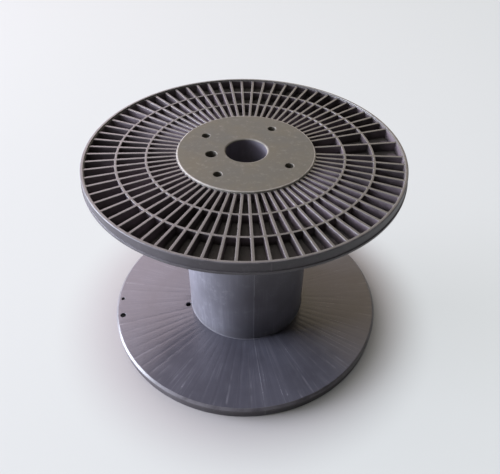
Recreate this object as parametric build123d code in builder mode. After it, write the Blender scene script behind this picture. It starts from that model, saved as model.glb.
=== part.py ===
from build123d import *
import os

# A wire spool moulded in one piece: two ribbed flanges on a hollow barrel with a bore through it.
# The axis is Z and the lower flange stands on z = 0. Lengths are in millimetres, angles in degrees.

# The sizes that a wire winder asks for
flange_diameter = 400.0
traverse = 250.0
barrel_diameter = 172.0
bore_diameter = 52.0

# Rim of each flange, with a bevelled lip beside the winding space
rim_height = 18.0
rim_wall = 4.0
rim_draft = 0.3
rim_edge_bevel = 1.2
lip_height = 6.0
lip_step = 1.0
lip_bevel = 3.0

# Skin of each flange, and the small bevel where the barrel meets it
skin = 4.0
barrel_root_bevel = 1.0

# Ribs on the outer face, cut back from the level of the rim and the hub
rib_count = 72
rib_thickness = 3.3
rib_recess = 2.0
ring_thickness = 2.8
pocket_band_count = 3
pocket_land = 0.5

# Hub plates, barrel wall and bore tube
hub_plate = 8.0
hub_edge_bevel = 1.4
barrel_wall = 6.0
bore_tube_wall = 6.0
bore_edge_bevel = 2.0

# Bolt holes and one drive hole through both hub plates
bolt_hole_count = 4
bolt_hole_diameter = 10.5
bolt_circle_diameter = 123.0
bolt_hole_angle = 50.0
drive_hole_diameter = 14.0
drive_circle_diameter = 88.0

# Holes through each skin for the two ends of the wire
wire_hole_diameter = 8.0
fine_wire_hole_diameter = 5.0
barrel_hole_margin = 1.5
rim_hole_margin = 1.0

# Every cut runs past the surface that it starts or ends on
overrun = 1.0

# Radii and heights that follow from the sizes above
flange_radius = flange_diameter / 2
barrel_radius = barrel_diameter / 2
bore_radius = bore_diameter / 2
rim_outer_radius = flange_radius - lip_step
rim_inner_radius = rim_outer_radius - rim_wall
overall_height = traverse + 2 * rim_height
mid_height = overall_height / 2
lip_underside = rim_height - lip_height
barrel_inner_radius = barrel_radius - barrel_wall
bore_tube_radius = bore_radius + bore_tube_wall
pocket_depth = rim_height - skin - rib_recess
pocket_outer_radius = rim_inner_radius - pocket_land
pocket_inner_radius = barrel_radius + pocket_land
pocket_middle_radius = (pocket_outer_radius + pocket_inner_radius) / 2

# The ribs stand at even angles. One is left out on each side of the first, which makes
# two cells of double width for the wire holes.
rib_pitch = 360 / rib_count
skipped_ribs = 2

# The drive hole lies midway between two of the bolt holes
bolt_pitch = 360 / bolt_hole_count
drive_hole_angle = bolt_hole_angle + bolt_pitch + bolt_pitch / 2

# Both flanges are alike. The lower one is the upper one turned over about the Y axis.
top_face = Plane(origin=(0, 0, overall_height), x_dir=(1, 0, 0), z_dir=(0, 0, 1))
bottom_face = Plane(origin=(0, 0, 0), x_dir=(-1, 0, 0), z_dir=(0, 0, -1))


def pocket_outlines(face):
    """Draw the cells between the ribs of one flange, at the level of the rib tops."""
    band_width = (pocket_outer_radius - pocket_inner_radius) / pocket_band_count
    rib_length = pocket_outer_radius - pocket_inner_radius + 2 * overrun
    with BuildSketch(face.offset(-rib_recess)) as cells:
        for band in range(pocket_band_count, 0, -1):
            outer_half_ring = ring_thickness / 2 if band < pocket_band_count else 0
            inner_half_ring = ring_thickness / 2 if band > 1 else 0
            outer_side = pocket_inner_radius + band * band_width - outer_half_ring
            inner_side = pocket_inner_radius + (band - 1) * band_width + inner_half_ring
            RegularPolygon(outer_side, rib_count)
            RegularPolygon(inner_side, rib_count, mode=Mode.SUBTRACT)
        with PolarLocations(pocket_middle_radius, 1):
            Rectangle(rib_length, rib_thickness, mode=Mode.SUBTRACT)
        with PolarLocations(
            pocket_middle_radius,
            rib_count - skipped_ribs - 1,
            start_angle=skipped_ribs * rib_pitch,
            angular_range=360 - 2 * skipped_ribs * rib_pitch,
            endpoint=True,
        ):
            Rectangle(rib_length, rib_thickness, mode=Mode.SUBTRACT)
    return cells.sketch


def wire_hole_outlines(face):
    """Draw the wire holes of one flange, in the middle of its two wide cells."""
    wire_hole_radius = wire_hole_diameter / 2
    fine_hole_radius = fine_wire_hole_diameter / 2
    with BuildSketch(face) as holes:
        with PolarLocations(barrel_radius + barrel_hole_margin + wire_hole_radius, 1, -rib_pitch):
            Circle(wire_hole_radius)
        with PolarLocations(rim_inner_radius - rim_hole_margin - wire_hole_radius, 1, -rib_pitch):
            Circle(wire_hole_radius)
        with PolarLocations(rim_inner_radius - rim_hole_margin - fine_hole_radius, 1, rib_pitch):
            Circle(fine_hole_radius)
    return holes.sketch


with BuildPart() as spool:
    # Half of the section through the axis, from the standing face to the middle of the barrel
    hub_edge = (barrel_radius, 0)
    bore_edge = (bore_radius, 0)
    rim_edge = (rim_outer_radius - rim_draft, 0)
    lip_edge = (flange_radius, rim_height)
    root_corner = (barrel_radius, rim_height)
    with BuildSketch(Plane.XZ) as section:
        with BuildLine():
            Polyline(
                bore_edge,
                hub_edge,
                (barrel_radius, rib_recess),
                (rim_inner_radius, rib_recess),
                (rim_inner_radius, 0),
                rim_edge,
                (rim_outer_radius, lip_underside),
                (flange_radius, lip_underside),
                lip_edge,
                root_corner,
                (barrel_radius, mid_height),
                (barrel_inner_radius, mid_height),
                (barrel_inner_radius, hub_plate),
                (bore_tube_radius, hub_plate),
                (bore_tube_radius, mid_height),
                (bore_radius, mid_height),
                close=True,
            )
        make_face()
        for corner, bevel in (
            (bore_edge, bore_edge_bevel),
            (hub_edge, hub_edge_bevel),
            (rim_edge, rim_edge_bevel),
            (lip_edge, lip_bevel),
            (root_corner, barrel_root_bevel),
        ):
            chamfer(section.vertices().sort_by_distance(corner)[0], bevel)
    revolve(axis=Axis.Z)
    mirror(about=Plane.XY.offset(mid_height))

    # The same ribs and wire holes at both ends
    for end_face in (top_face, bottom_face):
        extrude(pocket_outlines(end_face), amount=-pocket_depth, mode=Mode.SUBTRACT)
        extrude(wire_hole_outlines(end_face), amount=-(rim_height + overrun), mode=Mode.SUBTRACT)

    # Hub holes run straight down through both hub plates, so that they line up
    with Locations(top_face):
        with PolarLocations(bolt_circle_diameter / 2, bolt_hole_count, bolt_hole_angle):
            Hole(bolt_hole_diameter / 2)
        with PolarLocations(drive_circle_diameter / 2, 1, drive_hole_angle):
            Hole(drive_hole_diameter / 2)

spool.part.label = "spool"

os.makedirs("parts", exist_ok=True)
export_step(spool.part, "parts/spool.step")
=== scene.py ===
"""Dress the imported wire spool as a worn, dark grey plastic moulding on a pale studio floor."""

import logging
import math
import random
from dataclasses import dataclass, field
from enum import Enum
from typing import NamedTuple, Sequence

import bmesh
import bpy
from mathutils import Matrix, Vector
from mathutils.geometry import tessellate_polygon


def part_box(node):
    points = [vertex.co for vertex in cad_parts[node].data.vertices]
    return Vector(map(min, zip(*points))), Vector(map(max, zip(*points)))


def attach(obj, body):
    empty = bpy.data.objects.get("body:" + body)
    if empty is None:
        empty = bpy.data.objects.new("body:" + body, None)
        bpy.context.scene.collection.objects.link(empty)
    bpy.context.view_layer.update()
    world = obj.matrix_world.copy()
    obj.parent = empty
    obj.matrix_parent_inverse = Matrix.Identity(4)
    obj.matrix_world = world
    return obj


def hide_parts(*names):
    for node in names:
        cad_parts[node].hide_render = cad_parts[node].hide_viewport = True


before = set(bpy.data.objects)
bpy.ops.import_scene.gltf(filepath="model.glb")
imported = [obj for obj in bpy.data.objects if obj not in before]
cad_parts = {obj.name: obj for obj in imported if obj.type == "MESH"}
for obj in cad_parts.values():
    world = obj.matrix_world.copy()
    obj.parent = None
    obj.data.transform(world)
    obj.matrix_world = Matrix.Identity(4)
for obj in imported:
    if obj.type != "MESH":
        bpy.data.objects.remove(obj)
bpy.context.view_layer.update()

LOG = logging.getLogger("spool_scene")
MM = 0.001
NODE = "spool"
BODY = "root"

Point = tuple[float, float, float]
Loop = list[Point]
Colour = tuple[float, float, float]
Pair = tuple[float, float]
Wear = tuple[float, ...]
Socket = bpy.types.NodeSocket


class End(Enum):
    """The two ends of the spool. They are alike, and the lower one is turned over about the Y axis."""

    UPPER = "upper"
    LOWER = "lower"


class Zone(Enum):
    """The parts of the moulding that wear in their own way, in the order of their material slots. The
    cells and the bore also carry painted light and shade in their colours.
    """

    RIB_TOPS = 0
    CELLS = 1
    HUB = 2
    RIM = 3
    WINDING_FACE = 4
    BARREL = 5
    BORE = 6
    INSIDE = 7


class Grain(Enum):
    """The direction in which the scuffs of a finish run."""

    RADIAL = "radial"
    AXIAL = "axial"
    CLOUDY = "cloudy"


class ProfilePoint(NamedTuple):
    """A point of a section through the axis, and how far the split line lifts it outwards there."""

    radius: float
    depth: float
    lift: float = 0.0


class Column(NamedTuple):
    """An angle at which the turned surfaces have points, stepped aside from it by a length."""

    angle: float
    aside: float
    crest: bool


def polar(radius: float, angle: float, depth: float, aside: float = 0.0) -> Point:
    """Give a point at a radius and angle, stepped aside square to the line at that angle.

    Args:
        radius: Distance from the axis.
        angle: Angle from the X axis, in radians.
        depth: Distance below the outer face of the flange.
        aside: Distance from the line at that angle.

    Returns:
        The point in the frame of one end.
    """
    turned = angle + (math.asin(aside / radius) if aside else 0.0)
    return (radius * math.cos(turned), radius * math.sin(turned), depth)


def circle(radius: float, depth: float, count: int, centre: Point = (0.0, 0.0, 0.0)) -> Loop:
    """Give the points of a circle in a plane square to the axis.

    Args:
        radius: Radius of the circle.
        depth: Depth of its plane.
        count: Number of points.
        centre: Middle of the circle, whose own depth isn't used.

    Returns:
        The points in order.
    """
    turns = [math.tau * step / count for step in range(count)]
    return [(centre[0] + radius * math.cos(t), centre[1] + radius * math.sin(t), depth) for t in turns]


def corner_arc(centre: Pair, radius: float, start: float, stop: float, steps: int) -> list[ProfilePoint]:
    """Round a corner of a section.

    Args:
        centre: Radius and depth of the middle of the arc.
        radius: Radius of the arc.
        start: First angle in degrees, from the outward direction towards the depth.
        stop: Last angle in degrees.
        steps: Number of straight steps.

    Returns:
        The points of the arc, both ends among them.
    """
    turns = [math.radians(start + (stop - start) * step / steps) for step in range(steps + 1)]
    across, deep = centre
    return [ProfilePoint(across + radius * math.cos(t), deep + radius * math.sin(t)) for t in turns]


@dataclass
class Surface:
    """Gathers the faces of one closed surface, and joins the points that fall together."""

    points: list[Point] = field(default_factory=list)
    wear_and_shade: list[float] = field(default_factory=list)
    faces: list[tuple[int, ...]] = field(default_factory=list)
    zones: list[int] = field(default_factory=list)
    places: dict[tuple[int, int, int], int] = field(default_factory=dict)
    join_within: float = 1e-4 * MM
    sharp_angle: float = 50.0

    def index(self, point: Point, wear_and_shade: float) -> int:
        """Find or add a point.

        Args:
            point: The point in the frame of the part.
            wear_and_shade: How far it is rubbed, from 1 for polished to -1 for grimy. Above 0 it is
                painted pale, partly a painted highlight; below 0 it is darkened, painted shade in creases
                and recesses.

        Returns:
            Its number.
        """
        x, y, z = (round(value / self.join_within) for value in point)
        key = (x, y, z)
        if key not in self.places:
            self.places[key] = len(self.points)
            self.points.append(point)
            self.wear_and_shade.append(wear_and_shade)
        return self.places[key]

    def face(self, corners: Sequence[int], zone: Zone) -> None:
        """Add a face, with corners that fall together counted once.

        Args:
            corners: Numbers of its points in order.
            zone: The part of the moulding that it belongs to.
        """
        kept = [c for i, c in enumerate(corners) if c != corners[i - 1]]
        if len(kept) > 2:
            self.faces.append(tuple(kept))
            self.zones.append(zone.value)

    def open_edges(self) -> int:
        """Count the edges that don't lie between exactly two faces.

        Returns:
            Their number, which is 0 for a closed surface.
        """
        shared: dict[tuple[int, int], int] = {}
        for corners in self.faces:
            for i, corner in enumerate(corners):
                edge = (min(corner, corners[i - 1]), max(corner, corners[i - 1]))
                shared[edge] = shared.get(edge, 0) + 1
        return sum(1 for count in shared.values() if count != 2)

    def mesh(self, name: str) -> bpy.types.Mesh:
        """Make a mesh whose faces all look outwards, with the triangles of flat faces evened out.

        Args:
            name: Name of the mesh.

        Returns:
            The new mesh, smooth but for its sharp edges.
        """
        made = bpy.data.meshes.new(name)
        made.from_pydata(self.points, [], self.faces)
        made.polygons.foreach_set("material_index", self.zones)
        wear_and_shade_amounts = made.attributes.new("wear_and_shade", "FLOAT", "POINT")
        wear_and_shade_amounts.data.foreach_set("value", self.wear_and_shade)
        work = bmesh.new()
        work.from_mesh(made)
        bmesh.ops.recalc_face_normals(work, faces=work.faces)
        triangles = [face for face in work.faces if len(face.verts) == 3]
        between = [edge for edge in work.edges if all(len(face.verts) == 3 for face in edge.link_faces)]
        bmesh.ops.beautify_fill(work, faces=triangles, edges=between)
        work.to_mesh(made)
        work.free()
        made.shade_smooth()
        made.set_sharp_from_angle(angle=math.radians(self.sharp_angle))
        return made


@dataclass(frozen=True)
class SpoolSizes:
    """Sizes of the moulding, in metres and degrees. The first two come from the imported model."""

    flange_radius: float
    height: float
    rim_height: float = 18.0 * MM
    rim_wall: float = 4.0 * MM
    rim_draft: float = 0.3 * MM
    rim_edge: float = 1.2 * MM
    rim_inner_edge: float = 0.7 * MM
    lip_height: float = 6.0 * MM
    lip_step: float = 1.0 * MM
    lip_bevel: float = 3.0 * MM
    lip_soft: float = 0.8 * MM
    lip_corner: float = 0.3 * MM
    lip_angle: float = 45.0
    skin: float = 4.0 * MM
    barrel_radius: float = 86.0 * MM
    barrel_wall: float = 6.0 * MM
    barrel_root: float = 1.0 * MM
    hub_plate: float = 8.0 * MM
    hub_edge: float = 1.4 * MM
    bore_radius: float = 26.0 * MM
    bore_wall: float = 6.0 * MM
    bore_edge: float = 2.0 * MM
    rib_count: int = 72
    rib_thickness: float = 3.3 * MM
    rib_recess: float = 2.0 * MM
    ring_thickness: float = 2.8 * MM
    band_count: int = 3
    land: float = 0.5 * MM
    bolt_circle: float = 61.5 * MM
    bolt_radius: float = 5.25 * MM
    bolt_angles: tuple[float, ...] = (50.0, 140.0, 230.0, 320.0)
    drive_circle: float = 44.0 * MM
    drive_radius: float = 7.0 * MM
    drive_angle: float = 185.0
    wire_radius: float = 4.0 * MM
    fine_wire_radius: float = 2.5 * MM
    wire_start_circle: float = 91.5 * MM
    wire_end_circle: float = 190.0 * MM
    fine_wire_circle: float = 191.5 * MM

    def lip_reach(self) -> float:
        """Give the length by which the soft corners of the lip's bevel run on past its ends."""
        return self.lip_soft * math.tan(math.radians(0.5 * self.lip_angle))


@dataclass
class FlangeEnd:
    """One half of the spool: a ribbed flange with its hub, and half of the barrel and the bore."""

    sizes: SpoolSizes
    end: End
    surface: Surface
    turns: int = 216
    hidden_turns: int = 72
    bore_turns: int = 108
    bolt_turns: int = 32
    drive_turns: int = 40
    wire_turns: int = 24
    rim_steps: int = 4
    lip_steps: int = 2
    inner_edge_steps: int = 3
    hub_steps: int = 4
    hole_steps: int = 3
    mouth_steps: int = 5
    root_steps: int = 4
    barrel_rows: int = 6
    bore_rows: tuple[float, ...] = (0.2, 0.6, 1.0)
    wide_pitches: float = 1.5
    cell_edge: float = 0.4 * MM
    cell_edge_rows: int = 2
    cell_corner: float = 1.1 * MM
    cell_draft: float = 0.12 * MM
    cell_floor_round: float = 0.6 * MM
    wide_floor_round: float = 0.12 * MM
    split_half_width: float = 0.4 * MM
    split_crest: float = 0.16 * MM
    split_lift: float = 0.14 * MM
    face_split_lift: float = 0.07 * MM
    split_margin: float = 1.0 * MM
    split_draft: float = 0.1
    sink_half_width: float = 3.0 * MM
    sink_depth: float = 0.14 * MM
    sink_range: Pair = (0.35, 1.0)
    sink_at_rim: float = 0.6
    sink_shoulder: Pair = (0.5, 0.6)
    sink_rows: tuple[float, ...] = (0.0, 0.015, 0.06, 0.15, 0.28, 0.44, 0.6, 0.76, 0.9, 1.0)
    lip_margin: float = 0.6 * MM
    root_margin: float = 0.4 * MM
    hub_rub: float = 0.7 * MM
    flat_margin: float = 0.6 * MM
    hole_edge: float = 0.7 * MM
    wire_hole_edge: float = 0.4 * MM
    # The rim's outer edges are painted pale where polished: partly wear, partly a painted highlight.
    rim_edge_wear_and_highlight: Wear = (0.5, 1.0, 1.0, 0.8, 0.3)
    rim_wall_wear: Wear = (0.0, 0.0)
    ledge_wear: Wear = (0.0, 0.0, 0.0, 0.4, 0.7, 0.4)
    # The lip's bevel is painted pale: partly wear, partly a painted highlight.
    lip_wear_and_highlight: Wear = (0.3, 0.7, 1.0, 1.0, 0.8, 0.3)
    inner_edge_wear: Wear = (0.5, 1.0, 0.8, 0.3, 0.0)
    rib_wear: float = 0.3
    # Cells: pale at the rounded mouth. Down the walls and over the floor the colour darkens to the grime
    # colour, painted shade in the recess.
    cell_wear_and_shade: Wear = (0.55, 1.0, 0.5, -0.5, -0.9, -1.0)
    # Hub edge: painted pale, partly wear and partly a painted highlight ring.
    hub_wear_and_highlight: Wear = (0.0, 0.3, 0.9, 1.0, 1.0, 0.9, 0.0)
    hole_wear: Wear = (0.0, 0.1, 0.35, 0.4, 0.1, 0.0)
    # Bore mouth: painted pale, partly wear and partly a painted highlight.
    mouth_wear_and_highlight: Wear = (0.0, 0.1, 0.2, 0.3, 0.5, 0.4, 0.2)
    # Barrel root: darkened and roughened. The darkening is painted shade in the crease.
    root_painted_shade: Wear = (-0.3, -0.8, -0.9, -0.8, -0.5)
    # Wire hole walls: darkened and roughened down the hole. The darkening is painted shade in the recess.
    wire_hole_painted_shade: Wear = (0.0, -0.4, -0.8, -0.8, -0.8, -0.8)

    def placed(self, point: Point) -> Point:
        """Move a point from the frame of this end to the frame of the part."""
        x, y, depth = point
        return (x, y, self.sizes.height - depth) if self.end is End.UPPER else (-x, y, depth)

    def numbers(self, loop: Loop, wear_and_shade: float = 0.0) -> list[int]:
        """Find or add the points of a loop, all with the same amount of wear and painted shade."""
        return [self.surface.index(self.placed(point), wear_and_shade) for point in loop]

    def stack(self, loops: Sequence[Loop], zone: Zone, wear_and_shade: Wear = (), closed: bool = True) -> None:
        """Join loops of equal length by rows of quads.

        Args:
            loops: Loops in order.
            zone: The part of the moulding that the rows belong to.
            wear_and_shade: Wear and painted shade of each loop, or nothing for none.
            closed: Whether the last point of a loop is joined to its first.
        """
        wear_and_shade_amounts = wear_and_shade or (0.0,) * len(loops)
        rows = [self.numbers(loop, amount) for loop, amount in zip(loops, wear_and_shade_amounts)]
        for row, after in zip(rows, rows[1:]):
            for i in range(0 if closed else 1, len(row)):
                self.surface.face((row[i - 1], row[i], after[i], after[i - 1]), zone)

    def fill(self, outline: Loop, holes: Sequence[Loop], zone: Zone) -> None:
        """Fill a flat outline with triangles.

        Args:
            outline: The outer loop.
            holes: Loops inside it that stay open.
            zone: The part of the moulding that the face belongs to.
        """
        loops = [outline, *holes]
        numbers = [n for loop in loops for n in self.numbers(loop)]
        for triangle in tessellate_polygon([[Vector(p) for p in loop] for loop in loops]):
            self.surface.face([numbers[corner] for corner in triangle], zone)

    def split_columns(self) -> list[Column]:
        """Give the angles of the turned surfaces.

        Returns:
            The columns in order, closer together at the mould's split line.
        """
        columns = []
        steps = (-self.split_half_width, -self.split_crest, 0.0, self.split_crest, self.split_half_width)
        for turn in range(self.turns):
            angle = math.tau * turn / self.turns
            at_split = turn % (self.turns // 2) == self.turns // 4
            for aside in steps if at_split else (0.0,):
                columns.append(Column(angle, aside, at_split and abs(aside) <= self.split_crest))
        return columns

    def turned(self, profile: ProfilePoint) -> Loop:
        """Turn a point of the section about the axis.

        Args:
            profile: The point, with its lift along the split line.

        Returns:
            The loop of points.
        """
        made = []
        for column in self.split_columns():
            radius = profile.radius + profile.lift * column.crest
            made.append(polar(radius, column.angle, profile.depth, column.aside))
        return made

    def rib_angles(self) -> list[float]:
        """Give the angles of the ribs.

        Returns:
            The angles in order. One rib is left out on each side of the first, for the wire holes.
        """
        pitch = math.tau / self.sizes.rib_count
        left_out = (1, self.sizes.rib_count - 1)
        return [pitch * rib for rib in range(self.sizes.rib_count) if rib not in left_out]

    def wire_holes(self) -> list[tuple[float, float, float]]:
        """Give the places of the wire holes.

        Returns:
            The angle, the circle and the radius of each.
        """
        s = self.sizes
        pitch = math.tau / s.rib_count
        return [
            (-pitch, s.wire_start_circle, s.wire_radius),
            (-pitch, s.wire_end_circle, s.wire_radius),
            (pitch, s.fine_wire_circle, s.fine_wire_radius),
        ]

    def hub_holes(self) -> list[tuple[Point, float, int]]:
        """Give the places of the holes in the hub plate.

        Returns:
            The centre, the radius and the number of points of each.
        """
        s = self.sizes
        holes = [(angle, s.bolt_circle, s.bolt_radius, self.bolt_turns) for angle in s.bolt_angles]
        holes.append((s.drive_angle, s.drive_circle, s.drive_radius, self.drive_turns))
        made = []
        for angle, reach, radius, count in holes:
            seen = angle if self.end is End.UPPER else 180.0 - angle
            made.append((polar(reach, math.radians(seen), 0.0), radius, count))
        return made

    def build_rim(self) -> None:
        """Build the rim: its flat edge, the drafted wall, the ledge and the bevelled lip."""
        s = self.sizes
        wall = s.flange_radius - s.lip_step
        top = wall - s.rim_draft
        inner = wall - s.rim_wall
        ledge = s.rim_height - s.lip_height
        draft = self.split_draft * s.rim_draft
        outside = corner_arc((top - s.rim_edge, s.rim_edge), s.rim_edge, -90, 0, self.rim_steps)
        outside.append(ProfilePoint(top + draft, s.rim_edge + self.split_margin, self.split_lift))
        outside.append(ProfilePoint(wall - draft, ledge - self.split_margin, self.split_lift))
        small, soft, reach = s.lip_corner, s.lip_soft, s.lip_reach()
        outside += corner_arc((wall + small, ledge - small), small, 180, 90, self.lip_steps)
        outside += corner_arc((s.flange_radius - small, ledge + small), small, -90, 0, self.lip_steps)
        low = (s.flange_radius - soft, s.rim_height - s.lip_bevel - reach)
        high = (s.flange_radius - s.lip_bevel - reach, s.rim_height - soft)
        outside += corner_arc(low, soft, 0, s.lip_angle, self.lip_steps)
        outside += corner_arc(high, soft, s.lip_angle, 90, self.lip_steps)
        wear_and_shade_amounts = self.rim_edge_wear_and_highlight + self.rim_wall_wear + self.ledge_wear + self.lip_wear_and_highlight
        self.stack([self.turned(p) for p in outside], Zone.RIM, wear_and_shade_amounts)
        edge = s.rim_inner_edge
        inside = corner_arc((inner + edge, edge), edge, -90, -180, self.inner_edge_steps)
        inside.append(ProfilePoint(inner, s.rib_recess))
        loops = [circle(p.radius, p.depth, self.turns) for p in inside]
        self.stack(loops, Zone.RIB_TOPS, self.inner_edge_wear)
        self.fill(self.turned(outside[0]), [loops[0]], Zone.RIB_TOPS)

    def cell_loop(
        self, radii: Pair, angles: Pair, aside: float, depth: float, steps: int
    ) -> list[Loop]:
        """Draw the outline of one cell between two ribs and two rings.

        Args:
            radii: Inner and outer radius of the outline.
            angles: Angles of the two ribs.
            aside: Distance of the outline from the middle of each rib.
            depth: Depth of the outline.
            steps: Number of steps along each arc.

        Returns:
            The points in order, three together at each rounded corner.
        """
        low, high = angles
        middle = sum(radii) / 2
        corner = self.cell_corner
        made: list[Loop] = []
        for radius, start, stop, ahead in ((radii[1], low, high, 1), (radii[0], high, low, -1)):
            way = 1.0 if stop > start else -1.0
            first = start + way * math.asin(aside / radius)
            last = stop - way * math.asin(aside / radius)
            inward = radius - ahead * corner
            for step in range(steps + 1):
                angle = first + (last - first) * step / steps
                tip = polar(radius, angle, depth)
                if 0 < step < steps:
                    made.append([tip])
                    continue
                rib, turn = (start, way) if step == 0 else (stop, -way)
                side = polar(inward, rib, depth, turn * aside)
                along = polar(radius, angle + turn * corner / radius, depth)
                mean = tuple((a + 2 * b + c) / 4 for a, b, c in zip(side, tip, along))
                made.append([side, mean, along] if step == 0 else [along, mean, side])
            made.append([polar(middle, stop, depth, -way * aside)])
        return made

    def build_cell(self, radii: Pair, angles: Pair, band: int) -> None:
        """Build one cell with its share of the rib and ring tops, its rounded edges, walls and floor.

        Args:
            radii: Radii of the middles of the two rings, or of the rim and the hub.
            angles: Angles of the two ribs.
            band: Number of the band, from the hub.
        """
        s = self.sizes
        wide = angles[1] - angles[0] > self.wide_pitches * math.tau / s.rib_count
        steps = round((angles[1] - angles[0]) * self.turns / math.tau)
        ring = s.ring_thickness / 2
        inner_land = s.land if band == 0 else ring
        outer_land = s.land if band == s.band_count - 1 else ring
        top, floor = s.rib_recess, s.rim_height - s.skin
        edge = self.cell_edge
        fillet = self.wide_floor_round if wide else self.cell_floor_round
        rows = self.cell_edge_rows
        levels = corner_arc((-edge, top + edge), edge, -90, 0, rows)
        levels += corner_arc((self.cell_draft + fillet, floor - fillet), fillet, 180, 90, rows)
        boundary: list[int] = []
        low, high = angles
        for radius, start, stop in ((radii[1], low, high), (radii[0], high, low)):
            arc = [start + (stop - start) * step / steps for step in range(steps + 1)]
            boundary += self.numbers([polar(radius, angle, top) for angle in arc], self.rib_wear)
            boundary += self.numbers([polar(sum(radii) / 2, stop, top)], self.rib_wear)
        outlines: list[list[Loop]] = []
        for offset, depth, _ in levels:
            inset = (radii[0] + inner_land + offset, radii[1] - outer_land - offset)
            outlines.append(self.cell_loop(inset, angles, s.rib_thickness / 2 + offset, depth, steps))
        loops = [[point for group in groups for point in group] for groups in outlines]
        mouth = [self.numbers(group, self.cell_wear_and_shade[0]) for group in outlines[0]]
        for i, group in enumerate(mouth):
            corners = (boundary[i - 1], boundary[i], group[0], mouth[i - 1][-1])
            self.surface.face(corners, Zone.RIB_TOPS)
            for here, after in zip(group, group[1:]):
                self.surface.face((boundary[i], after, here), Zone.RIB_TOPS)
        self.stack(loops[: rows + 1], Zone.RIB_TOPS, self.cell_wear_and_shade[: rows + 1])
        # The cell walls and floor darken towards the bottom: painted shade.
        self.stack(loops[rows:], Zone.CELLS, self.cell_wear_and_shade[rows:])
        holes = [
            circle(size, floor, self.wire_turns, polar(reach, angle, 0.0))
            for angle, reach, size in self.wire_holes()
            if wide and self.holds(radii, angles, (angle, reach))
        ]
        if holes:
            self.fill(loops[-1], holes, Zone.CELLS)
        else:
            self.surface.face(self.numbers(loops[-1]), Zone.CELLS)

    @staticmethod
    def holds(radii: Pair, angles: Pair, hole: Pair) -> bool:
        """Say whether a wire hole lies in a cell.

        Args:
            radii: Inner and outer radius of the cell.
            angles: Angles of the two ribs.
            hole: Angle and circle of the hole.

        Returns:
            True if its centre is in the cell.
        """
        middle = (angles[0] + angles[1]) / 2
        apart = math.remainder(hole[0] - middle, math.tau)
        return radii[0] < hole[1] < radii[1] and abs(apart) < (angles[1] - angles[0]) / 2

    def build_ribbed_face(self) -> None:
        """Build every cell between the ribs, in rings from the hub to the rim."""
        s = self.sizes
        rim = s.flange_radius - s.lip_step - s.rim_wall
        inner, outer = s.barrel_radius + s.land, rim - s.land
        step = (outer - inner) / s.band_count
        middles = [s.barrel_radius, *(inner + step * band for band in range(1, s.band_count)), rim]
        ribs = self.rib_angles()
        for band in range(s.band_count):
            for low, high in zip(ribs, [*ribs[1:], ribs[0] + math.tau]):
                self.build_cell((middles[band], middles[band + 1]), (low, high), band)

    def build_hub(self) -> None:
        """Build the hub plate with its rounded edge, its five holes and its hidden inner face."""
        s = self.sizes
        edge = s.hub_edge
        side = [ProfilePoint(s.barrel_radius, s.rib_recess)]
        side += corner_arc((s.barrel_radius - edge, edge), edge, 0, -90, self.hub_steps)
        side.append(ProfilePoint(s.barrel_radius - edge - self.hub_rub, 0.0))
        loops = [circle(p.radius, p.depth, self.turns) for p in side]
        self.stack(loops, Zone.HUB, self.hub_wear_and_highlight)
        outer_loops, inner_loops = [], []
        for centre, radius, count in self.hub_holes():
            soft = self.hole_edge
            round_over = corner_arc((radius + soft, soft), soft, -90, -180, self.hole_steps)
            top = ProfilePoint(radius + soft + self.flat_margin, 0.0)
            profile = [top, *round_over, ProfilePoint(radius, s.hub_plate)]
            hole = [circle(p.radius, p.depth, count, centre) for p in profile]
            self.stack(hole, Zone.HUB, self.hole_wear)
            outer_loops.append(hole[0])
            inner_loops.append(hole[-1])
        mouth = circle(s.bore_radius + s.bore_edge + self.flat_margin, 0.0, self.bore_turns)
        self.fill(loops[-1], [mouth, *outer_loops], Zone.HUB)
        tube = circle(s.bore_radius + s.bore_wall, s.hub_plate, self.hidden_turns)
        wall = circle(s.barrel_radius - s.barrel_wall, s.hub_plate, self.hidden_turns)
        self.fill(wall, [tube, *inner_loops], Zone.INSIDE)

    def build_bore(self) -> None:
        """Build half of the bore with its rounded mouth, and half of the hidden hollow in the barrel."""
        s = self.sizes
        middle = s.height / 2
        edge = s.bore_edge
        mouth = [ProfilePoint(s.bore_radius + edge + self.flat_margin, 0.0)]
        mouth += corner_arc((s.bore_radius + edge, edge), edge, -90, -180, self.mouth_steps)
        loops = [circle(p.radius, p.depth, self.bore_turns) for p in mouth]
        self.stack(loops, Zone.HUB, self.mouth_wear_and_highlight)
        rows = [circle(s.bore_radius, share * middle, self.bore_turns) for share in self.bore_rows]
        self.stack([loops[-1], *rows], Zone.BORE)
        for radius in (s.bore_radius + s.bore_wall, s.barrel_radius - s.barrel_wall):
            ends = [circle(radius, depth, self.hidden_turns) for depth in (s.hub_plate, middle)]
            self.stack(ends, Zone.INSIDE)

    def build_barrel(self) -> None:
        """Build half of the barrel, from the rounded root at the winding face."""
        s = self.sizes
        root = s.barrel_root
        low = s.rim_height + root
        middle = s.height / 2
        profile = corner_arc((s.barrel_radius + root, low), root, -90, -180, self.root_steps)
        for row in range(1, self.barrel_rows + 1):
            depth = low + (middle - low) * row / self.barrel_rows
            profile.append(ProfilePoint(s.barrel_radius, depth, self.split_lift))
        # The root fillet is darkened as painted shade in the crease, and roughened.
        wear_and_shade_amounts = self.root_painted_shade + (0.0,) * self.barrel_rows
        self.stack([self.turned(p) for p in profile], Zone.BARREL, wear_and_shade_amounts)

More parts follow.
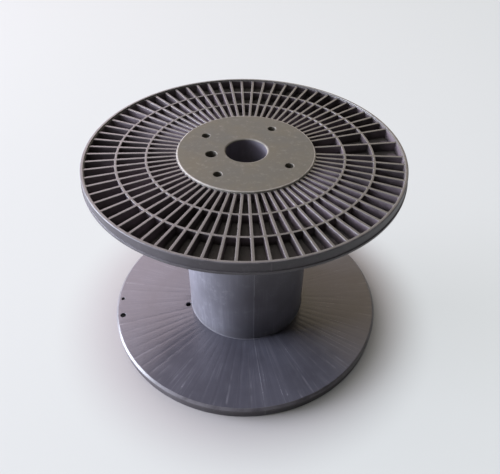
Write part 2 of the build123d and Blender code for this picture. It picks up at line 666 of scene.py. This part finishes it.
    def sink_columns(self, angle: float, depth: float) -> list[Pair]:
        """Give the steps across the trace that a rib leaves on the winding face.

        Args:
            angle: Angle of the rib.
            depth: Depth of the sink mark over it.

        Returns:
            Distances aside from the rib, with the depth of the surface below the face there.
        """
        width = self.sink_half_width
        at_split = math.isclose(abs(math.sin(angle)), 1.0)
        if at_split:
            flat, crest = self.split_half_width, self.split_crest
            lift = -self.face_split_lift
            return [(-width, 0.0), (-flat, 0.0), (-crest, lift), (crest, lift), (flat, 0.0), (width, 0.0)]
        side, part = self.sink_shoulder[0] * width, self.sink_shoulder[1] * depth
        return [(-width, 0.0), (-side, part), (0.0, depth), (side, part), (width, 0.0)]

    def build_winding_face(self) -> None:
        """Build the face beside the winding space, with a faint sink mark over each rib."""
        s = self.sizes
        face = s.rim_height
        edge = s.flange_radius - s.lip_bevel - s.lip_reach()
        outer = edge - self.lip_margin
        inner = s.barrel_radius + s.barrel_root + self.root_margin
        shares = self.sink_rows
        radii = [outer + (inner - outer) * share for share in shares]
        draw = random.Random(f"sink marks {self.end.value}")
        ribs = self.rib_angles()
        strips: list[list[Loop]] = []
        for angle in ribs:
            deep = self.sink_depth * draw.uniform(*self.sink_range)
            columns = self.sink_columns(angle, deep)
            strip: list[Loop] = []
            for row, radius in enumerate(radii):
                at_end = row in (0, len(radii) - 1)
                fade = 0.0 if at_end else self.sink_at_rim + (1.0 - self.sink_at_rim) * shares[row]
                strip.append([polar(radius, angle, face - sink * fade, aside) for aside, sink in columns])
            strips.append(strip)
        zone = Zone.WINDING_FACE
        outer_loop: Loop = []
        inner_loop: Loop = []
        for i, strip in enumerate(strips):
            outer_loop += strip[0]
            inner_loop += strip[-1]
            self.stack(strip, zone, closed=False)
            following = strips[(i + 1) % len(strips)]
            low, high = ribs[i], ribs[i + 1] if i + 1 < len(ribs) else ribs[0] + math.tau
            around = self.wire_hole_edge + self.flat_margin
            holes = [
                circle(size + around, face, self.wire_turns, polar(reach, angle, 0.0))
                for angle, reach, size in self.wire_holes()
                if self.holds((inner, outer), (low, high), (angle, reach))
            ]
            left = [row[-1] for row in strip]
            right = [row[0] for row in following]
            if holes:
                self.fill(left + right[::-1], holes, zone)
            else:
                starts, ends = self.numbers(left), self.numbers(right)
                for j in range(1, len(starts)):
                    self.surface.face((starts[j - 1], ends[j - 1], ends[j], starts[j]), zone)
        lip = self.turned(ProfilePoint(edge, face))
        root = self.turned(ProfilePoint(s.barrel_radius + s.barrel_root, face))
        self.fill(lip, [outer_loop], zone)
        self.fill(inner_loop, [root], zone)

    def build_wire_holes(self) -> None:
        """Build the walls of the wire holes, rounded where they meet the winding face."""
        s = self.sizes
        edge = self.wire_hole_edge
        for angle, reach, radius in self.wire_holes():
            centre = polar(reach, angle, 0.0)
            round_over = corner_arc((radius + edge, s.rim_height - edge), edge, 90, 180, self.hole_steps)
            face = ProfilePoint(radius + edge + self.flat_margin, s.rim_height)
            profile = [face, *round_over, ProfilePoint(radius, s.rim_height - s.skin)]
            loops = [circle(p.radius, p.depth, self.wire_turns, centre) for p in profile]
            # The hole walls darken downwards as painted shade, and are roughened.
            self.stack(loops, Zone.WINDING_FACE, self.wire_hole_painted_shade)

    def build(self) -> None:
        """Build every surface of this end."""
        self.build_rim()
        self.build_ribbed_face()
        self.build_hub()
        self.build_bore()
        self.build_barrel()
        self.build_winding_face()
        self.build_wire_holes()


@dataclass
class NodeBench:
    """Places and joins the nodes of one material."""

    tree: bpy.types.NodeTree

    def add(
        self, kind: str, settings: dict[str, object] | None = None, **inputs: object
    ) -> bpy.types.Node:
        """Add a node and set or link its inputs.

        Args:
            kind: Blender's name of the node.
            settings: Properties of the node.
            inputs: Values or sockets, by the input's name with _ for a space, or by i and its number.

        Returns:
            The node.
        """
        node = self.tree.nodes.new(kind)
        for name, value in (settings or {}).items():
            setattr(node, name, value)
        for name, value in inputs.items():
            numbered = name[0] == "i" and name[1:].isdigit()
            socket = node.inputs[int(name[1:])] if numbered else node.inputs[name.replace("_", " ")]
            if isinstance(value, Socket):
                self.tree.links.new(value, socket)
            else:
                socket.default_value = value
        return node

    def math(self, operation: str, *values: object, clamp: bool = False) -> Socket:
        """Work out a number.

        Args:
            operation: Blender's name of the operation.
            values: Numbers or sockets.
            clamp: Whether the result is kept from 0 to 1.

        Returns:
            The socket with the result.
        """
        settings = {"operation": operation, "use_clamp": clamp}
        inputs = {f"i{i}": value for i, value in enumerate(values)}
        return self.add("ShaderNodeMath", settings, **inputs).outputs[0]

    def vector(self, operation: str, output: str = "Vector", **inputs: object) -> Socket:
        """Work out a vector, or a number from one, with the inputs named as for add."""
        return self.add("ShaderNodeVectorMath", {"operation": operation}, **inputs).outputs[output]

    def spread(self, value: Socket, low: float, high: float) -> Socket:
        """Stretch a number smoothly, so that low becomes 0 and high becomes 1."""
        settings = {"interpolation_type": "SMOOTHSTEP"}
        return self.add("ShaderNodeMapRange", settings, i0=value, i1=low, i2=high).outputs[0]

    def noise(self, where: Socket, scale: float, detail: float, roughness: float) -> Socket:
        """Make a cloudy pattern.

        Args:
            where: Where on the surface the pattern is read.
            scale: Number of clouds along a length of one.
            detail: Number of finer layers.
            roughness: Strength of the finer layers.

        Returns:
            The socket with the pattern, about 0.5 on average.
        """
        inputs = {"Vector": where, "Scale": scale, "Detail": detail, "Roughness": roughness}
        return self.add("ShaderNodeTexNoise", **inputs).outputs[0]

    def blend(self, share: object, first: object, second: object) -> Socket:
        """Mix two colours by a share, which is a number or a socket."""
        node = self.add("ShaderNodeMix", {"data_type": "RGBA"}, i0=share, i6=first, i7=second)
        return node.outputs[2]


class Place(NamedTuple):
    """The place on the spool that a material is worked out for, and the bench that its nodes are on."""

    bench: NodeBench
    where: Socket
    direction: Socket
    radius: Socket
    height: Socket

    @classmethod
    def read(cls, bench: NodeBench) -> "Place":
        """Read the place.

        Args:
            bench: The nodes of the material.

        Returns:
            The place, with its direction from the axis, its radius and its height.
        """
        where = bench.add("ShaderNodeTexCoord").outputs["Object"]
        parts = bench.add("ShaderNodeSeparateXYZ", i0=where).outputs
        flat = bench.add("ShaderNodeCombineXYZ", i0=parts[0], i1=parts[1]).outputs[0]
        direction = bench.vector("NORMALIZE", i0=flat)
        return cls(bench, where, direction, bench.vector("LENGTH", "Value", i0=flat), parts[2])


@dataclass(frozen=True)
class Clouds:
    """A cloudy pattern, stretched so that its thin parts are 0 and its thick parts are 1."""

    scale: float
    detail: float
    roughness: float
    low: float
    high: float

    def draw(self, place: Place) -> Socket:
        """Draw the pattern as it is at a place, from 0 to 1."""
        clouds = place.bench.noise(place.where, self.scale, self.detail, self.roughness)
        return place.bench.spread(clouds, self.low, self.high)


@dataclass(frozen=True)
class Streaks:
    """Clouds drawn out in one direction. They repeat at one rate across it and at another along it."""

    clouds: Clouds
    across: float
    along: float

    def draw(self, place: Place, run: Socket) -> Socket:
        """Draw the pattern.

        Args:
            place: The place on the spool.
            run: Distance in the direction of the streaks.

        Returns:
            The socket with the pattern, from 0 to 1.
        """
        bench = place.bench
        round_axis = bench.vector("SCALE", i0=place.direction, Scale=self.across)
        length = bench.math("MULTIPLY", run, self.along)
        lengthways = bench.add("ShaderNodeCombineXYZ", i2=length).outputs[0]
        drawn_out = bench.vector("ADD", i0=round_axis, i1=lengthways)
        return self.clouds.draw(place._replace(where=drawn_out))


@dataclass(frozen=True)
class WearPatterns:
    """The patterns that every finish of the plastic draws its wear from."""

    scuffs: Clouds = Clouds(140.0, 6.0, 0.7, low=0.5, high=0.8)
    hairs: Streaks = Streaks(Clouds(1.3, 4.0, 0.65, low=0.52, high=0.72), across=62.0, along=9.0)
    hair_share: float = 0.75
    bands: Streaks = Streaks(Clouds(1.0, 4.0, 0.6, low=0.48, high=0.74), across=26.0, along=7.0)
    band_share: float = 0.4
    patches: Clouds = Clouds(22.0, 2.0, 0.55, low=0.32, high=0.62)
    rubs: Clouds = Clouds(95.0, 5.0, 0.72, low=0.52, high=0.72)
    rub_share: float = 0.8
    rib_count: int = SpoolSizes.rib_count
    rib_line: Pair = (0.75, 1.0)
    rib_choice: Streaks = Streaks(Clouds(1.6, 2.0, 0.55, low=0.44, high=0.66), across=7.0, along=5.0)
    rib_breaks: Clouds = Clouds(60.0, 2.0, 0.55, low=0.34, high=0.66)
    rib_fade: Pair = (115.0 * MM, 190.0 * MM)
    rib_at_barrel: float = 0.15
    split_line: Pair = (0.3 * MM, 1.1 * MM)
    split_breaks: Clouds = Clouds(45.0, 3.0, 0.6, low=0.22, high=0.6)
    shades: Clouds = Clouds(11.0, 5.0, 0.62, low=0.28, high=0.72)
    shade_rough: float = 0.06
    grime_rough: float = 0.3
    handling: Clouds = Clouds(55.0, 3.0, 0.6, low=0.2, high=0.6)
    specks: tuple[float, float, float] = (380.0, 1.0, 0.55)
    speck_rough: float = 0.05
    speck_height: float = 0.4
    scuff_height: float = 0.8
    bump_strength: float = 0.1
    bump_distance: float = 0.6 * MM


@dataclass(frozen=True)
class PlasticFinish:
    """The dark moulded plastic as it looks on one part of the spool."""

    name: str
    base: Colour
    pale: Colour
    # Darker colour of the random tone, and of the painted shade in creases and recesses.
    grime_and_shade_colour: Colour
    roughness: float
    scuffs: float
    grain: Grain = Grain.CLOUDY
    rib_traces: float = 0.0
    split_trace: float = 0.0
    # Strength of the pale colour on polished edges, which is partly a painted highlight.
    edge_pale_and_highlight: float = 0.35
    edge_gloss: float = 0.16
    scuff_rough: float = 0.12
    gloss: float = 0.5
    patterns: WearPatterns = WearPatterns()

    def scuff_pattern(self, place: Place) -> Socket:
        """Draw the scuffs in the direction of the finish's grain.

        Args:
            place: The place on the spool.

        Returns:
            The socket with the pattern, from 0 to 1.
        """
        p, bench = self.patterns, place.bench
        if self.grain is Grain.CLOUDY:
            return p.scuffs.draw(place)
        run = place.radius if self.grain is Grain.RADIAL else place.height
        fine = bench.math("MULTIPLY", p.hairs.draw(place, run), p.hair_share)
        broad = bench.math("MULTIPLY", p.bands.draw(place, run), p.band_share)
        mixed = bench.math("ADD", fine, broad)
        if self.grain is Grain.AXIAL:
            rubs = bench.math("MULTIPLY", p.rubs.draw(place), p.rub_share)
            mixed = bench.math("MAXIMUM", mixed, rubs)
        return bench.math("MULTIPLY", mixed, p.patches.draw(place), clamp=True)

    def rib_pattern(self, place: Place) -> Socket:
        """Draw the faint lines over the ribs, broken up along their length and stronger towards the rim.

        Args:
            place: The place on the spool.

        Returns:
            The socket with the pattern, from 0 to 1.
        """
        p, bench = self.patterns, place.bench
        parts = bench.add("ShaderNodeSeparateXYZ", i0=place.direction).outputs
        angle = bench.math("ARCTAN2", parts[1], parts[0])
        wave = bench.math("COSINE", bench.math("MULTIPLY", angle, float(p.rib_count)))
        line = bench.spread(wave, *p.rib_line)
        chosen = p.rib_choice.draw(place, place.radius)
        broken = p.rib_breaks.draw(place)
        rimward = bench.math("MULTIPLY", bench.spread(place.radius, *p.rib_fade), 1.0 - p.rib_at_barrel)
        strength = bench.math("MULTIPLY", bench.math("ADD", rimward, p.rib_at_barrel), chosen)
        return bench.math("MULTIPLY", line, bench.math("MULTIPLY", broken, strength))

    def split_pattern(self, place: Place) -> Socket:
        """Draw the rubbed line along the mould's split, which lies in the YZ plane.

        Args:
            place: The place on the spool.

        Returns:
            The socket with the pattern, from 0 to 1.
        """
        p, bench = self.patterns, place.bench
        across = bench.math("ABSOLUTE", bench.add("ShaderNodeSeparateXYZ", i0=place.where).outputs[0])
        line = bench.math("SUBTRACT", 1.0, bench.spread(across, *p.split_line))
        return bench.math("MULTIPLY", line, p.split_breaks.draw(place))

    def pale_share(self, place: Place) -> Socket:
        """Work out how far the plastic is rubbed pale by scuffs, over the ribs and along the split.

        Args:
            place: The place on the spool.

        Returns:
            The socket with the share.
        """
        bench = place.bench
        pale = bench.math("MULTIPLY", self.scuff_pattern(place), self.scuffs)
        traces = ((self.rib_pattern, self.rib_traces), (self.split_pattern, self.split_trace))
        for pattern, strength in traces:
            if strength:
                trace = bench.math("MULTIPLY", pattern(place), strength)
                pale = bench.math("MAXIMUM", pale, trace)
        return pale

    def material(self) -> bpy.types.Material:
        """Make the material.

        Returns:
            The material, with its colour, roughness and bump all worked out from the place on the spool.
        """
        p = self.patterns
        made = bpy.data.materials.new(self.name)
        made.use_nodes = True
        made.node_tree.nodes.clear()
        bench = NodeBench(made.node_tree)
        place = Place.read(bench)
        wear_and_shade_amounts = bench.add("ShaderNodeAttribute", {"attribute_name": "wear_and_shade"}).outputs["Fac"]
        # Above 0 the wear attribute paints edges pale, partly wear and partly a painted highlight, and
        # smooths them. Below 0 it paints in the grime colour as shade and roughens.
        polish_and_highlight = bench.math("MAXIMUM", wear_and_shade_amounts, 0.0)
        grime_and_shade = bench.math("MAXIMUM", bench.math("MULTIPLY", wear_and_shade_amounts, -1.0), 0.0)
        shades = p.shades.draw(place)
        specks = bench.noise(place.where, *p.specks)
        pale = self.pale_share(place)
        # Pale polished edges: partly handling wear, partly a painted highlight.
        handled_and_highlit = bench.math("MULTIPLY", p.handling.draw(place), self.edge_pale_and_highlight)
        edges = bench.math("MULTIPLY", polish_and_highlight, handled_and_highlit)
        # The grime colour shows where the tone clouds are thin, and fully where painted shade darkens
        # creases and recesses.
        clean_and_unshaded = bench.math("SUBTRACT", shades, grime_and_shade, clamp=True)
        colour = bench.blend(clean_and_unshaded, (*self.grime_and_shade_colour, 1.0), (*self.base, 1.0))
        colour = bench.blend(bench.math("MAXIMUM", pale, edges, clamp=True), colour, (*self.pale, 1.0))
        rough = bench.math("MULTIPLY", bench.math("SUBTRACT", specks, 0.5), p.speck_rough)
        for share, change in ((shades, p.shade_rough), (pale, self.scuff_rough), (grime_and_shade, p.grime_rough)):
            rough = bench.math("ADD", rough, bench.math("MULTIPLY", share, change))
        rough = bench.math("SUBTRACT", rough, bench.math("MULTIPLY", polish_and_highlight, self.edge_gloss))
        rough = bench.math("ADD", rough, self.roughness, clamp=True)
        grain = bench.math("MULTIPLY", specks, p.speck_height)
        height = bench.math("ADD", grain, bench.math("MULTIPLY", pale, p.scuff_height))
        height = bench.math("MULTIPLY", height, bench.math("SUBTRACT", 1.0, polish_and_highlight, clamp=True))
        relief = {"Strength": p.bump_strength, "Distance": p.bump_distance, "Height": height}
        bump = bench.add("ShaderNodeBump", **relief)
        shader = bench.add(
            "ShaderNodeBsdfPrincipled",
            Base_Color=colour,
            Roughness=rough,
            Normal=bump.outputs[0],
            Specular_IOR_Level=self.gloss,
        )
        bench.add("ShaderNodeOutputMaterial", Surface=shader.outputs[0])
        return made


FINISHES: dict[Zone, PlasticFinish] = {
    Zone.RIB_TOPS: PlasticFinish(
        name="rib_top_plastic",
        base=(0.066, 0.061, 0.057),
        pale=(0.19, 0.181, 0.171),
        grime_and_shade_colour=(0.057, 0.053, 0.05),
        roughness=0.42,
        scuffs=0.25,
        edge_gloss=0.08,
        gloss=0.85,
    ),
    # Cell walls are a much lighter copy of the plastic, painted light deep in the cells. The floors take
    # the dark grime colour in full, painted shade.
    Zone.CELLS: PlasticFinish(
        name="cell_plastic_lit_walls_shaded_floors",
        base=(0.175, 0.143, 0.16),
        pale=(0.235, 0.197, 0.217),
        grime_and_shade_colour=(0.025, 0.0205, 0.019),
        roughness=0.5,
        scuffs=0.2,
        edge_pale_and_highlight=0.1,
    ),
    Zone.HUB: PlasticFinish(
        name="hub_plate_plastic",
        base=(0.102, 0.09, 0.063),
        pale=(0.32, 0.3, 0.27),
        grime_and_shade_colour=(0.078, 0.077, 0.066),
        roughness=0.66,
        scuffs=0.25,
        # Strong pale edges on the hub and round its holes, partly a painted highlight.
        edge_pale_and_highlight=0.95,
        gloss=0.35,
    ),
    Zone.RIM: PlasticFinish(
        name="rim_plastic",
        base=(0.064, 0.058, 0.063),
        pale=(0.24, 0.23, 0.24),
        grime_and_shade_colour=(0.044, 0.039, 0.043),
        roughness=0.4,
        scuffs=0.15,
        split_trace=0.35,
        edge_gloss=0.06,
        gloss=0.38,
    ),
    Zone.WINDING_FACE: PlasticFinish(
        name="winding_face_plastic",
        base=(0.078, 0.077, 0.093),
        pale=(0.24, 0.236, 0.256),
        grime_and_shade_colour=(0.056, 0.055, 0.066),
        roughness=0.2,
        grain=Grain.RADIAL,
        scuffs=0.3,
        rib_traces=0.34,
        split_trace=0.3,
        scuff_rough=0.1,
        gloss=0.75,
    ),
    Zone.BARREL: PlasticFinish(
        name="barrel_plastic",
        base=(0.122, 0.12, 0.14),
        pale=(0.27, 0.267, 0.29),
        grime_and_shade_colour=(0.09, 0.087, 0.099),
        roughness=0.4,
        grain=Grain.AXIAL,
        scuffs=0.45,
        split_trace=0.4,
    ),
    # Inside the bore the plastic is a lighter, bluer copy: painted light where little lamp light reaches.
    Zone.BORE: PlasticFinish(
        name="bore_plastic_painted_light",
        base=(0.135, 0.125, 0.146),
        pale=(0.23, 0.217, 0.24),
        grime_and_shade_colour=(0.1, 0.092, 0.107),
        roughness=0.38,
        grain=Grain.AXIAL,
        scuffs=0.4,
    ),
    Zone.INSIDE: PlasticFinish(
        name="inside_plastic",
        base=(0.03, 0.027, 0.027),
        pale=(0.06, 0.055, 0.05),
        grime_and_shade_colour=(0.02, 0.018, 0.017),
        roughness=0.55,
        scuffs=0.2,
    ),
}


@dataclass
class SpoolMoulding:
    """The spool, moulded in one piece."""

    sizes: SpoolSizes
    name: str = "spool_moulding"

    def build(self) -> bpy.types.Object:
        """Build the mesh of the whole spool and put it in the place of the CAD node.

        Returns:
            The object, which rides on the root body.
        """
        surface = Surface()
        for end in End:
            FlangeEnd(self.sizes, end, surface).build()
        LOG.info("surface: %d faces, %d open edges", len(surface.faces), surface.open_edges())
        piece = bpy.data.objects.new(self.name, surface.mesh(self.name))
        bpy.context.scene.collection.objects.link(piece)
        weighted = piece.modifiers.new("face_weighted_normals", "WEIGHTED_NORMAL")
        weighted.keep_sharp = True
        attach(piece, BODY)
        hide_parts(NODE)
        return piece

    @staticmethod
    def dress(piece: bpy.types.Object) -> None:
        """Give each zone of the moulding its finish."""
        for zone in Zone:
            piece.data.materials.append(FINISHES[zone].material())


@dataclass(frozen=True)
class Lamp:
    """A soft rectangular studio lamp that looks at a point of the spool."""

    name: str
    place: Point
    power: float
    colour: Colour
    width: float = 1.8
    length: float = 1.8
    aim: Point = (0.0, 0.0, 0.2)

    def build(self) -> bpy.types.Object:
        """Make the lamp and turn it to its aim.

        Returns:
            The lamp.
        """
        light = bpy.data.lights.new(self.name, "AREA")
        light.shape = "RECTANGLE"
        light.size, light.size_y = self.width, self.length
        light.energy = self.power
        light.color = self.colour
        lamp = bpy.data.objects.new(self.name, light)
        lamp.location = self.place
        lamp.rotation_mode = "QUATERNION"
        lamp.rotation_quaternion = (Vector(self.aim) - Vector(self.place)).to_track_quat("-Z", "Y")
        bpy.context.scene.collection.objects.link(lamp)
        return lamp


LAMPS: tuple[Lamp, ...] = (
    Lamp(
        name="left_softbox",
        place=(-3.4, 0.5, 0.75),
        width=2.2,
        length=1.4,
        power=435.0,
        colour=(0.81, 0.86, 1.0),
        aim=(0.0, 0.0, 0.14),
    ),
    Lamp(
        name="left_high_softbox",
        place=(-2.2, 0.3, 1.9),
        length=1.4,
        power=50.0,
        colour=(0.78, 0.79, 1.0),
    ),
    Lamp(
        name="back_left_softbox",
        place=(-1.1, 1.8, 1.5),
        width=2.2,
        power=43.0,
        colour=(1.0, 0.82, 0.89),
    ),
    Lamp(
        name="back_right_softbox",
        place=(1.0, 1.8, 1.5),
        power=11.5,
        colour=(1.0, 0.84, 0.62),
    ),
    Lamp(
        name="top_softbox",
        place=(-0.3, 0.1, 2.3),
        power=25.0,
        colour=(1.0, 0.98, 0.92),
    ),
)


@dataclass
class Studio:
    """A pale floor that curves up into a low backdrop all round, an even sky and soft lamps."""

    floor_reach: float = 9.0
    cove_radius: float = 2.0
    cove_steps: int = 12
    backdrop_height: float = 4.2
    floor_turns: int = 96
    floor_colour: Colour = (0.36, 0.34, 0.33)
    glow_colour: Colour = (0.9, 0.95, 0.98)
    floor_glow: float = 0.65
    painted_shadow_radii: Pair = (0.18, 0.3)
    sky_colour: Colour = (1.0, 0.97, 0.96)
    sky_strength: float = 0.03
    lamps: tuple[Lamp, ...] = LAMPS

    def floor_mesh(self) -> bpy.types.Mesh:
        """Make the mesh of the floor and the backdrop.

        Returns:
            The new mesh: a flat middle, then rings of quads up the cove and the backdrop.
        """
        reach, cove, turns = self.floor_reach, self.cove_radius, self.floor_turns
        section = [ProfilePoint(reach - cove, 0.0)]
        section += corner_arc((reach, cove), cove, -90, 0, self.cove_steps)
        section.append(ProfilePoint(reach + cove, self.backdrop_height))
        points = [point for p in section for point in circle(p.radius, p.depth, turns)]
        faces: list[tuple[int, ...]] = [tuple(range(turns))]
        for row in range(1, len(section)):
            for turn in range(turns):
                low, after = (row - 1) * turns, (turn + 1) % turns
                faces.append((low + turn, low + turns + turn, low + turns + after, low + after))
        mesh = bpy.data.meshes.new("studio_floor")
        mesh.from_pydata(points, [], faces)
        mesh.shade_smooth()
        return mesh

    def floor_material(self) -> bpy.types.Material:
        """Make the floor's matt finish, which seems to glow to the camera and in reflections, and whose
        glow lights nothing. The glow is left out under and close round the spool, which paints a darker
        shadow there.

        Returns:
            The new material.
        """
        made = bpy.data.materials.new("studio_floor")
        made.use_nodes = True
        made.node_tree.nodes.clear()
        bench = NodeBench(made.node_tree)
        matt = bench.add("ShaderNodeBsdfDiffuse", Color=(*self.floor_colour, 1.0))
        glow = bench.add("ShaderNodeEmission", Color=(*self.glow_colour, 1.0))
        where = bench.add("ShaderNodeTexCoord").outputs["Object"]
        away = bench.vector("LENGTH", "Value", i0=where)
        # No glow under and close round the spool: a painted shadow there, on top of the real one.
        clear = bench.math("MULTIPLY", bench.spread(away, *self.painted_shadow_radii), self.floor_glow)
        path = bench.add("ShaderNodeLightPath").outputs
        seen = bench.math("ADD", path["Is Camera Ray"], path["Is Glossy Ray"])
        seen = bench.math("ADD", seen, path["Is Transmission Ray"], clamp=True)
        seen = bench.math("MULTIPLY", seen, clear)
        both = bench.add("ShaderNodeMixShader", i0=seen, i1=matt.outputs[0], i2=glow.outputs[0])
        bench.add("ShaderNodeOutputMaterial", Surface=both.outputs[0])
        return made

    def build_floor(self) -> bpy.types.Object:
        """Make the floor that the spool stands on, and the backdrop round it.

        Returns:
            The floor.
        """
        mesh = self.floor_mesh()
        mesh.materials.append(self.floor_material())
        floor = bpy.data.objects.new("studio_floor", mesh)
        bpy.context.scene.collection.objects.link(floor)
        return floor

    def build_sky(self) -> None:
        """Light the scene evenly from all round."""
        world = bpy.data.worlds.new("studio_sky")
        bpy.context.scene.world = world
        world.use_nodes = True
        background = world.node_tree.nodes["Background"]
        background.inputs["Color"].default_value = (*self.sky_colour, 1.0)
        background.inputs["Strength"].default_value = self.sky_strength

    def build(self) -> None:
        """Set up the floor, the sky and the lamps."""
        self.build_floor()
        self.build_sky()
        for lamp in self.lamps:
            lamp.build()
        bpy.context.scene.view_settings.view_transform = "Standard"


@dataclass(frozen=True)
class PhotoCamera:
    """The camera, where the photograph was taken from. Angles are in degrees.

    The picture is cut from a larger one, so its middle lies aside from the lens's own axis.
    """

    target: Point
    distance: float = 0.6591
    azimuth: float = -7.0
    elevation: float = 32.67
    pitch: float = 41.71
    yaw: float = -3.24
    roll: float = 2.08
    lens: float = 37.76
    sensor: float = 36.0
    picture_shift: Pair = (-0.0372, -0.0061)

    def build(self) -> bpy.types.Object:
        """Make the camera and set it as the scene's own.

        Returns:
            The camera.
        """
        elevation, pitch, yaw = (math.radians(a) for a in (self.elevation, self.pitch, self.yaw))
        level = Vector((math.cos(yaw), math.sin(yaw), 0.0))
        ahead = Vector((-math.sin(yaw), math.cos(yaw), 0.0))
        back = -math.cos(pitch) * ahead + Vector((0.0, 0.0, math.sin(pitch)))
        upright = back.cross(level)
        cosine, sine = math.cos(math.radians(self.roll)), math.sin(math.radians(self.roll))
        right = cosine * level + sine * upright
        above = -sine * level + cosine * upright
        turn = Matrix((right, above, back)).transposed().to_4x4()
        place = Vector((0.0, -math.cos(elevation), math.sin(elevation))) * self.distance
        swing = Matrix.Rotation(math.radians(self.azimuth), 4, "Z")
        lens = bpy.data.cameras.new("photo_camera")
        lens.sensor_fit = "HORIZONTAL"
        lens.sensor_width = self.sensor
        lens.lens = self.lens
        lens.shift_x, lens.shift_y = self.picture_shift
        camera = bpy.data.objects.new("photo_camera", lens)
        camera.matrix_world = Matrix.Translation(self.target) @ swing @ Matrix.Translation(place) @ turn
        bpy.context.scene.collection.objects.link(camera)
        bpy.context.scene.camera = camera
        return camera


def main() -> None:
    """Build the camera, the spool and the studio, and report each piece."""
    logging.basicConfig(level=logging.INFO, format="%(name)s: %(message)s")
    low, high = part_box(NODE)
    PhotoCamera(target=(0.0, 0.0, high.z)).build()
    sizes = SpoolSizes(flange_radius=min(high.x, high.y, -low.x, -low.y), height=high.z - low.z)
    moulding = SpoolMoulding(sizes)
    piece = moulding.build()
    moulding.dress(piece)
    LOG.info("%s: %d faces", piece.name, len(piece.data.polygons))
    Studio().build()


if __name__ == "__main__":
    main()
